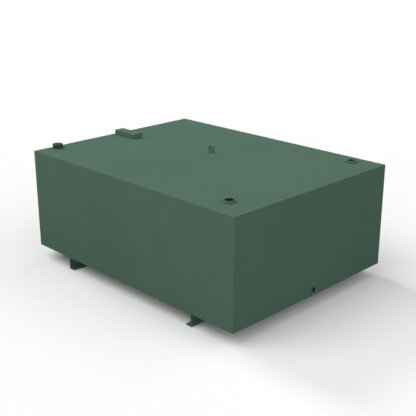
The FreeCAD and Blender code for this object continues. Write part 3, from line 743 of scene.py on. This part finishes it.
def weld_tree():
    """Flattened balls along the edges of the mesh that is given. Inputs are in metres."""
    tree = bpy.data.node_groups.new("weld_bead", "GeometryNodeTree")
    for name, kind in (("Geometry", "NodeSocketGeometry"), ("Leg", "NodeSocketFloat"),
                       ("Ripple spacing", "NodeSocketFloat"), ("Seed", "NodeSocketInt"),
                       ("Finish", "NodeSocketMaterial")):
        tree.interface.new_socket(name=name, in_out="INPUT", socket_type=kind)
    tree.interface.new_socket(name="Geometry", in_out="OUTPUT", socket_type="NodeSocketGeometry")
    given = add_node(tree, "NodeGroupInput").outputs
    path = add_node(tree, "GeometryNodeMeshToCurve", inputs={"Mesh": given["Geometry"]})
    points = add_node(tree, "GeometryNodeCurveToPoints", {"mode": "LENGTH"}, {
        "Curve": path.outputs["Curve"], "Length": given["Ripple spacing"]})
    puddle = add_node(tree, "GeometryNodeMeshIcoSphere", inputs={"Radius": 1.0, "Subdivisions": 2})
    length = add_node(tree, "ShaderNodeMath", {"operation": "MULTIPLY"}, {
        0: given["Ripple spacing"], 1: PUDDLE_LENGTH})
    size = add_node(tree, "ShaderNodeCombineXYZ", inputs={
        "X": given["Leg"], "Y": given["Leg"], "Z": length.outputs[0]})
    vary = add_node(tree, "FunctionNodeRandomValue", {"data_type": "FLOAT"}, {
        "Min": PUDDLE_LEAST, "Max": PUDDLE_MOST, "Seed": given["Seed"]})
    scale = add_node(tree, "ShaderNodeVectorMath", {"operation": "SCALE"}, {
        0: size.outputs[0], "Scale": vary.outputs[1]})
    placed = add_node(tree, "GeometryNodeInstanceOnPoints", inputs={
        "Points": points.outputs["Points"], "Instance": puddle.outputs["Mesh"],
        "Rotation": points.outputs["Rotation"], "Scale": scale.outputs["Vector"]})
    real = add_node(tree, "GeometryNodeRealizeInstances", inputs={
        "Geometry": placed.outputs["Instances"]})
    finished = add_node(tree, "GeometryNodeSetMaterial", inputs={
        "Geometry": real.outputs["Geometry"], "Material": given["Finish"]})
    add_node(tree, "NodeGroupOutput", inputs={"Geometry": finished.outputs["Geometry"]})
    return tree


WELD = weld_tree()
print("Nodes in the weld tree:", len(WELD.nodes))

# %% Paths for the torch
def path_mesh(name, paths):
    """A mesh of bare edges: each path is a list of points in metres and whether it closes."""
    points, edges = [], []
    for path, closed in paths:
        first = len(points)
        points += [tuple(p) for p in path]
        edges += [(first + i, first + i + 1) for i in range(len(path) - 1)]
        if closed:
            edges.append((first + len(path) - 1, first))
    mesh = bpy.data.meshes.new(name)
    mesh.from_pydata(points, edges, [])
    return mesh


def circle_path(centre, radius, along_x=False, count=96):
    """A closed ring round a turned piece, its radius in mm."""
    points = []
    for step in range(count):
        turn = 2 * math.pi * step / count
        across, up = radius * MM * math.cos(turn), radius * MM * math.sin(turn)
        offset = Vector((0, across, up)) if along_x else Vector((across, up, 0))
        points.append(Vector(centre) + offset)
    return points, True


def rectangle_path(centre, length, width):
    """A closed ring round a square foot, its length and width in mm."""
    x, y = length / 2 * MM, width / 2 * MM
    corners = ((-x, -y, 0), (x, -y, 0), (x, y, 0), (-x, y, 0))
    return [Vector(centre) + Vector(corner) for corner in corners], True


def weld(name, paths, leg, ripple, seed):
    """One bead for each path, with its leg and its ripple spacing in mm."""
    mesh = bake(name, WELD, {
        "Leg": leg * MM, "Ripple spacing": ripple * MM, "Seed": seed, "Finish": paint},
        base=path_mesh(name + "_path", paths))
    give_finish(mesh, paint, BEAD_CREASE)
    bead = place_object(name, mesh)
    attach(bead, "tank")
    print(name, "faces:", len(mesh.polygons))


print("Points round a boss:", len(circle_path(foot_of("vent_boss"), BOSS_RADIUS)[0]))

# %% Lay the welds
EYE_FOOT, COAMING_FOOT = (50, 10), (219, 69)
STITCH_COUNT, STITCH_LENGTH, STITCH_SPACING, STITCH_MARGIN = 9, 70 * MM, 170 * MM, 30 * MM

weld("boss_welds", [circle_path(foot_of("vent_boss"), BOSS_RADIUS),
                    circle_path(foot_of("outlet_boss"), BOSS_RADIUS)], leg=2.6, ripple=2.6, seed=3)
weld("nipple_weld", [circle_path(foot_of("fill_nipple"), FLANGE_RADIUS)],
     leg=2.0, ripple=2.4, seed=4)
weld("drain_weld", [circle_path(drain_face, DRAIN_OUTSIDE, along_x=True)],
     leg=2.2, ripple=2.4, seed=5)
weld("eye_weld", [rectangle_path(foot_of("lifting_eye"), *EYE_FOOT)], leg=3.2, ripple=3.0, seed=7)
weld("coaming_weld", [rectangle_path(foot_of("inspection_coaming"), *COAMING_FOOT)],
     leg=1.8, ripple=2.6, seed=9)

stitches = []
for node in ("bearer_left", "bearer_right"):
    low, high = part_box(node)
    for x in (low.x, high.x):
        for step in range(STITCH_COUNT):
            start = low.y + STITCH_MARGIN + step * STITCH_SPACING
            end = start + STITCH_LENGTH
            stitches.append(([Vector((x, start, high.z)), Vector((x, end, high.z))], False))
weld("bearer_welds", stitches, leg=3.6, ripple=3.6, seed=11)

# %% [markdown]
# ## Floor and light
# The photograph shows the tank on a white studio floor under soft light from many sides. The deck
# is the brightest face and the right end the darkest, and a faint shadow lies to the right of the
# lifting eye. So one key light comes from the left, and eight soft boxes stand round the tank. Each
# is a very wide sun, which has no distance to fall off over, and its shadow fades into the next.
# The sky gives no light of its own. Sky and floor only look white where they are seen directly, by
# the Is Camera Ray switch with its fellows for reflections and clear plastic, so that a white
# surrounding adds nothing to the light on the tank.

# %% Floor
FLOOR_REACH = 60
FLOOR_BOUNCE = (0.3, 0.3, 0.3, 1.0)
FLOOR_SEEN = (0.96, 0.96, 0.96, 1.0)


def seen_directly(tree):
    """1 for what the camera, a reflection or clear plastic shows, and 0 for bounced light."""
    rays = add_node(tree, "ShaderNodeLightPath")
    first = add_node(tree, "ShaderNodeMath", {"operation": "MAXIMUM"}, {
        0: rays.outputs["Is Camera Ray"], 1: rays.outputs["Is Glossy Ray"]})
    both = add_node(tree, "ShaderNodeMath", {"operation": "MAXIMUM"}, {
        0: first.outputs[0], 1: rays.outputs["Is Transmission Ray"]})
    return both.outputs[0]


def studio_floor():
    """White paper to the eye, grey to the light, so that the tank casts its shadow on it."""
    material, tree = new_material("studio_floor")
    tone = add_node(tree, "ShaderNodeMix", {"data_type": "RGBA"}, {
        "Factor": seen_directly(tree), "A": FLOOR_BOUNCE, "B": FLOOR_SEEN})
    shader = add_node(tree, "ShaderNodeBsdfDiffuse", inputs={"Color": tone.outputs["Result"]})
    add_node(tree, "ShaderNodeOutputMaterial", inputs={"Surface": shader.outputs["BSDF"]})
    return material


floor_mesh = bpy.data.meshes.new("floor")
floor_mesh.from_pydata([(-FLOOR_REACH, -FLOOR_REACH, 0), (FLOOR_REACH, -FLOOR_REACH, 0),
                        (FLOOR_REACH, FLOOR_REACH, 0), (-FLOOR_REACH, FLOOR_REACH, 0)],
                       [], [(0, 1, 2, 3)])
floor_mesh.materials.append(studio_floor())
floor = place_object("floor", floor_mesh)
print("Floor:", 2 * FLOOR_REACH, "m square")

# %% Light
KEY_LIGHT = (-93, 40, 0.87, 15)  # azimuth, elevation, strength and spread
SOFT_BOXES = ((-30, 35, 0.58), (-30, 60, 1.26), (15, 12, 0.75), (60, 12, 0.75),
              (105, 35, 0.71), (150, 35, 0.16), (150, 60, 0.36), (-165, 35, 0.26))
BOX_SPREAD = 50

world = bpy.data.worlds.new("studio")
bpy.context.scene.world = world
world.use_nodes = True
sky = world.node_tree
sky.nodes.clear()
backdrop = add_node(sky, "ShaderNodeBackground", inputs={
    "Color": (1.0, 1.0, 1.0, 1.0), "Strength": seen_directly(sky)})
add_node(sky, "ShaderNodeOutputWorld", inputs={"Surface": backdrop.outputs["Background"]})


def distant_lamp(name, azimuth, elevation, strength, spread):
    """Azimuth 0 shines from the front, 90 from the right end and -90 from the left. The angles
    and the spread are in degrees."""
    lamp = bpy.data.lights.new(name, "SUN")
    lamp.energy = strength
    lamp.angle = math.radians(spread)
    a, e = math.radians(azimuth), math.radians(elevation)
    towards = Vector((math.sin(a) * math.cos(e), -math.cos(a) * math.cos(e), math.sin(e)))
    item = place_object(name, lamp)
    item.rotation_mode = "QUATERNION"
    item.rotation_quaternion = towards.to_track_quat("Z", "Y")


distant_lamp("key_light", *KEY_LIGHT)
for number, soft_box in enumerate(SOFT_BOXES):
    distant_lamp(f"soft_box_{number + 1}", *soft_box, BOX_SPREAD)
print("Lamps:", 1 + len(SOFT_BOXES))

# %% [markdown]
# ## Camera
# A photograph fixes where its camera stood: the slopes and meeting points of the box's long edges
# give its place, its direction and its lens. The camera here stands in that place, so the picture
# it takes can be laid over the photograph, edge on edge.

# %% Camera
CAMERA_PLACE = (3.84068, -3.77471, 2.31723)
CAMERA_AZIMUTH, CAMERA_ELEVATION = 45.225, 19.186
CAMERA_LENS, CAMERA_SENSOR = 68.58, 36.0

camera_data = bpy.data.cameras.new("camera")
camera_data.lens = CAMERA_LENS
camera_data.sensor_width = CAMERA_SENSOR
camera = place_object("camera", camera_data)
camera.location = CAMERA_PLACE
camera.rotation_euler = (math.radians(90 - CAMERA_ELEVATION), 0, math.radians(CAMERA_AZIMUTH))
bpy.context.scene.camera = camera
bpy.context.scene.view_settings.view_transform = "Standard"
tank_middle = (cad_box[0] + cad_box[1]) / 2
print("Camera to the tank's middle:", round((camera.location - tank_middle).length, 2), "m")

# %% [markdown]
